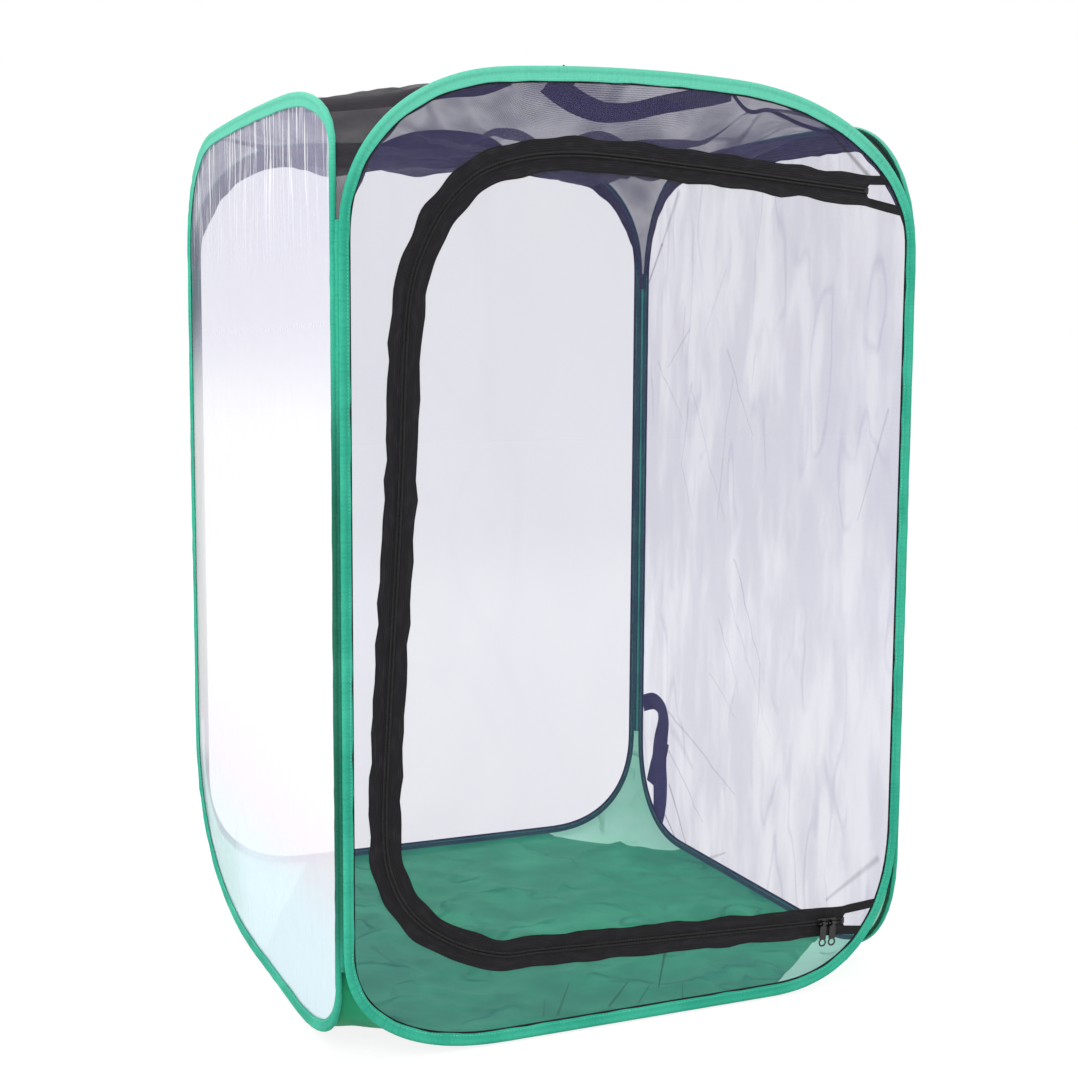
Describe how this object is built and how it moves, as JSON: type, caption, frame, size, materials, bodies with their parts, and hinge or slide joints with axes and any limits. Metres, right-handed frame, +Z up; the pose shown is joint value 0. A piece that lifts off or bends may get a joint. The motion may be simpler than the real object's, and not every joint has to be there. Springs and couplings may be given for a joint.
{
  "type": "pop-up insect cage",
  "caption": "Pop-up mesh insect cage with hoop-framed folding side panels, a clear window, a zipped mesh door, a sagging mesh roof, a cloth floor, carry handles and a side strap.",
  "frame": {"origin": "middle of the cloth floor's underside", "axes": "+Z up, -Y out of the front panel with the zipped door, -X out of the clear window"},
  "size_m": [0.6253, 0.6124, 0.9105],
  "materials": {
    "green_polyester": "woven polyester, slight sheen",
    "black_mesh": "fine open mesh",
    "clear_vinyl": "clear flexible sheet",
    "zipper_tape": "woven tape, matte",
    "zip_coil": "coil teeth",
    "slider_metal": "black lacquer",
    "webbing": "ribbed webbing, matte",
    "hem_tape": "woven tape, matte",
    "spring_steel": "bare spring wire",
    "ferrule_metal": "plain"
  },
  "bodies": {
    "back_panel": {"back_binding": "green_polyester", "back_hoop_wire": "spring_steel", "back_ferrule": "ferrule_metal", "back_hem_tape": "hem_tape", "back_mesh": "black_mesh", "roof_mesh": "black_mesh", "top_gusset_front_left": "black_mesh", "top_gusset_front_right": "black_mesh", "top_gusset_back_right": "black_mesh", "top_gusset_back_left": "black_mesh", "floor_cloth": "green_polyester", "floor_gusset_front_left": "green_polyester", "floor_gusset_front_right": "green_polyester", "floor_gusset_back_right": "green_polyester", "floor_gusset_back_left": "green_polyester"},
    "left_panel": {"left_binding": "green_polyester", "left_hoop_wire": "spring_steel", "left_ferrule": "ferrule_metal", "left_hem_tape": "hem_tape", "left_window": "clear_vinyl"},
    "right_panel": {"right_binding": "green_polyester", "right_hoop_wire": "spring_steel", "right_ferrule": "ferrule_metal", "right_hem_tape": "hem_tape", "right_mesh": "black_mesh", "side_strap": "webbing"},
    "front_panel": {"front_binding": "green_polyester", "front_hoop_wire": "spring_steel", "front_ferrule": "ferrule_metal", "front_hem_tape": "hem_tape", "front_mesh": "black_mesh", "hinge_strip": "black_mesh", "zip_tape_outer": "zipper_tape", "zip_coil_outer": "zip_coil", "zip_tape_top_end": "zipper_tape", "zip_tape_bottom_end": "zipper_tape", "zip_coil_top_end": "zip_coil", "zip_coil_bottom_end": "zip_coil", "zip_top_stop": "slider_metal", "zip_bottom_stop": "slider_metal"},
    "door": {"door_mesh": "black_mesh", "zip_tape_inner": "zipper_tape", "zip_coil_inner": "zip_coil"},
    "slider_left": {"slider_left": "slider_metal"},
    "slider_right": {"slider_right": "slider_metal"},
    "pull_left": {"pull_left": "slider_metal"},
    "pull_right": {"pull_right": "slider_metal"},
    "front_handle": {"front_handle": "webbing"},
    "back_handle": {"back_handle": "webbing"}
  },
  "joints": [
    {"name": "left_fold", "type": "hinge", "parent": "back_panel", "child": "left_panel", "pos_m": [-0.297, 0.297, 0], "axis": [0, 0, 1], "range_deg": [0, 75], "stiffness_Nm_per_rad": 0.5, "deforming": ["roof_mesh", "floor_cloth", "top_gusset_front_left", "top_gusset_front_right", "top_gusset_back_right", "top_gusset_back_left", "floor_gusset_front_left", "floor_gusset_front_right", "floor_gusset_back_right", "floor_gusset_back_left"]},
    {"name": "right_fold", "type": "hinge", "parent": "back_panel", "child": "right_panel", "pos_m": [0.297, 0.297, 0], "axis": [0, 0, 1], "range_deg": [0, 75]},
    {"name": "front_fold", "type": "hinge", "parent": "left_panel", "child": "front_panel", "pos_m": [-0.297, -0.297, 0], "axis": [0, 0, 1], "range_deg": [-75, 0]},
    {"name": "door_swing", "type": "hinge", "parent": "front_panel", "child": "door", "pos_m": [0.198, -0.304, 0.44], "axis": [0, 0, -1], "range_deg": [-120, 0]},
    {"name": "slider_left_travel", "type": "slide", "parent": "front_panel", "child": "slider_left", "axis": [0.999, 0, -0.0436], "range_m": [-0.34, 0]},
    {"name": "slider_right_travel", "type": "slide", "parent": "front_panel", "child": "slider_right", "axis": [0.999, 0, -0.0436], "range_m": [0, 0.008]},
    {"name": "pull_left_swing", "type": "hinge", "parent": "slider_left", "child": "pull_left", "pos_m": [0.206, -0.3074, 0.07187], "axis": [-0.999, 0, 0.0436], "range_deg": [0, 150]},
    {"name": "pull_right_swing", "type": "hinge", "parent": "slider_right", "child": "pull_right", "pos_m": [0.217, -0.3074, 0.07139], "axis": [-0.999, 0, 0.0436], "range_deg": [0, 150]},
    {"name": "front_handle_swing", "type": "hinge", "parent": "front_panel", "child": "front_handle", "pos_m": [-0.007, -0.2942, 0.8975], "axis": [1, 0, 0], "range_deg": [0, 135]},
    {"name": "back_handle_swing", "type": "hinge", "parent": "back_panel", "child": "back_handle", "pos_m": [0.012, 0.2942, 0.8925], "axis": [-1, 0, 0], "range_deg": [-25, 80]}
  ],
  "couplings": [
    {"joint": "right_fold", "follows": "left_fold", "ratio": 1},
    {"joint": "front_fold", "follows": "left_fold", "ratio": -1}
  ]
}
